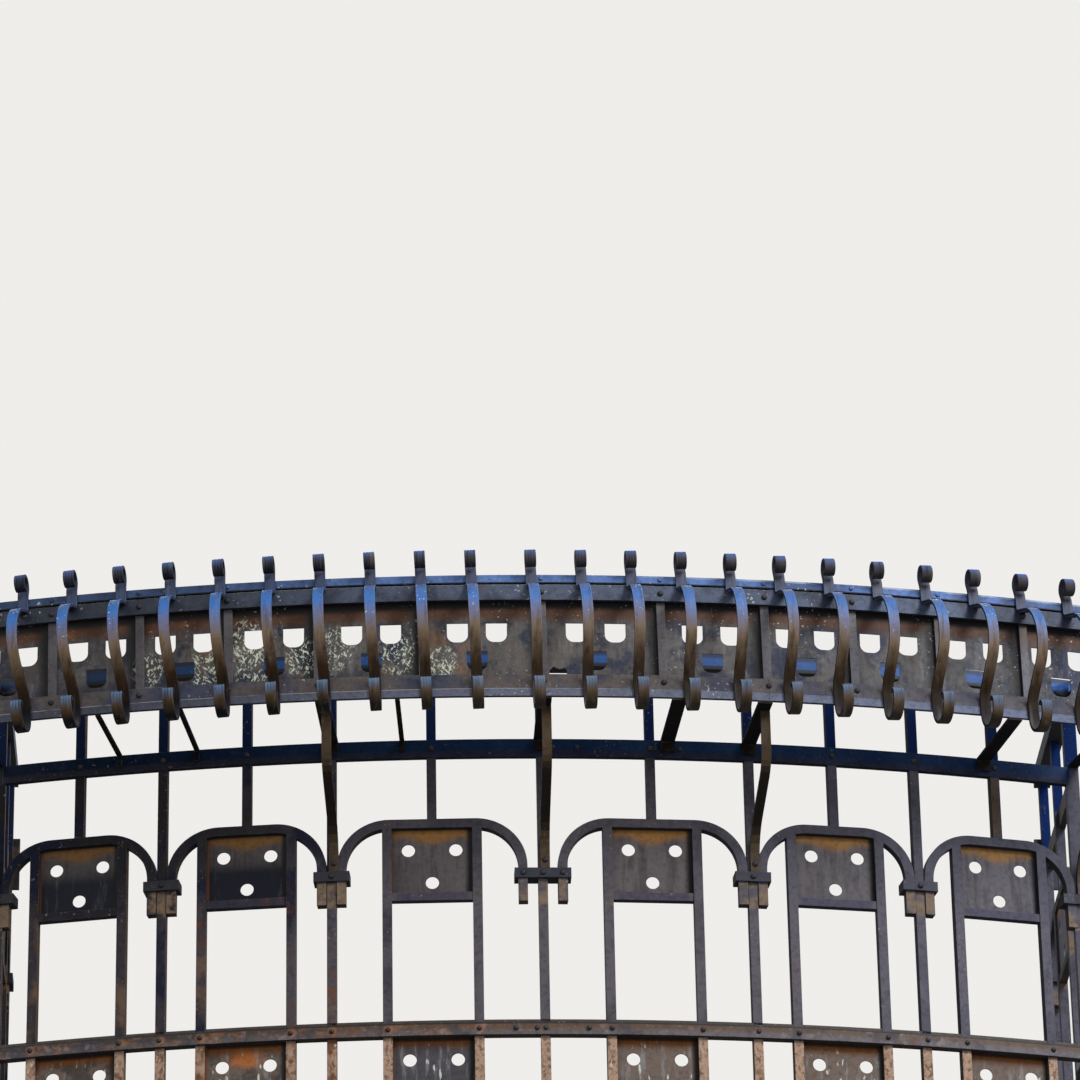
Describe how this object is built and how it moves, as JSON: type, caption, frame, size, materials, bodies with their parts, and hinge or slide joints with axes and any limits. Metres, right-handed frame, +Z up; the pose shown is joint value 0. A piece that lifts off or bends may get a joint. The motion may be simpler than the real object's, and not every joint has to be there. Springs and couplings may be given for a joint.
{
  "type": "wrought iron balcony",
  "caption": "Bow-fronted wrought iron balcony with hooped panels of pierced plates, side returns to the wall, a floor slab and a pierced flower guard with scroll straps",
  "frame": {"origin": "middle of the floor slab's back face, on the wall plane", "axes": "+X to the right seen from outside, -Y out from the wall, +Z up"},
  "size_m": [2.4414, 0.9577, 1.3461],
  "materials": {
    "bar_iron": "worn blue-black paint on forged iron bars, rust at joints and undersides",
    "scroll_iron": "worn black paint on iron straps, brown rust on the lower parts",
    "rusted_plate": "faded black paint on pierced iron sheet, with rust and pale stains",
    "slab_stone": "weathered cast stone"
  },
  "bodies": {
    "root": {"floor_slab": "slab_stone", "bottom_rail": "bar_iron", "middle_rail": "bar_iron", "upper_rail": "bar_iron", "handrail": "bar_iron", "front_posts": "bar_iron", "corner_and_wall_posts": "bar_iron", "upper_balusters": "bar_iron", "collars": "bar_iron", "bay_frame_1": "bar_iron", "bay_frame_2": "bar_iron", "bay_frame_3": "bar_iron", "bay_frame_4": "bar_iron", "bay_frame_5": "bar_iron", "bay_frame_6": "bar_iron", "bay_plates_1": "rusted_plate", "bay_plates_2": "rusted_plate", "bay_plates_3": "rusted_plate", "bay_plates_4": "rusted_plate", "bay_plates_5": "rusted_plate", "bay_plates_6": "rusted_plate", "side_frame_left": "bar_iron", "side_frame_right": "bar_iron", "side_plates_left": "rusted_plate", "side_plates_right": "rusted_plate", "side_rails_left": "bar_iron", "side_rails_right": "bar_iron", "wall_flanges": "bar_iron", "guard_top_bar": "bar_iron", "guard_upper_bar": "bar_iron", "guard_lower_bar": "bar_iron", "guard_bottom_bar": "bar_iron", "guard_ribs": "bar_iron", "guard_sheets_1": "rusted_plate", "guard_sheets_2": "rusted_plate", "guard_sheets_3": "rusted_plate", "guard_sheets_4": "rusted_plate", "guard_sheets_5": "rusted_plate", "guard_sheets_6": "rusted_plate", "scroll_straps_left": "scroll_iron", "scroll_straps_middle": "scroll_iron", "scroll_straps_right": "scroll_iron", "curved_brackets": "scroll_iron", "guard_struts": "bar_iron", "guard_ends": "bar_iron"}
  },
  "joints": []
}
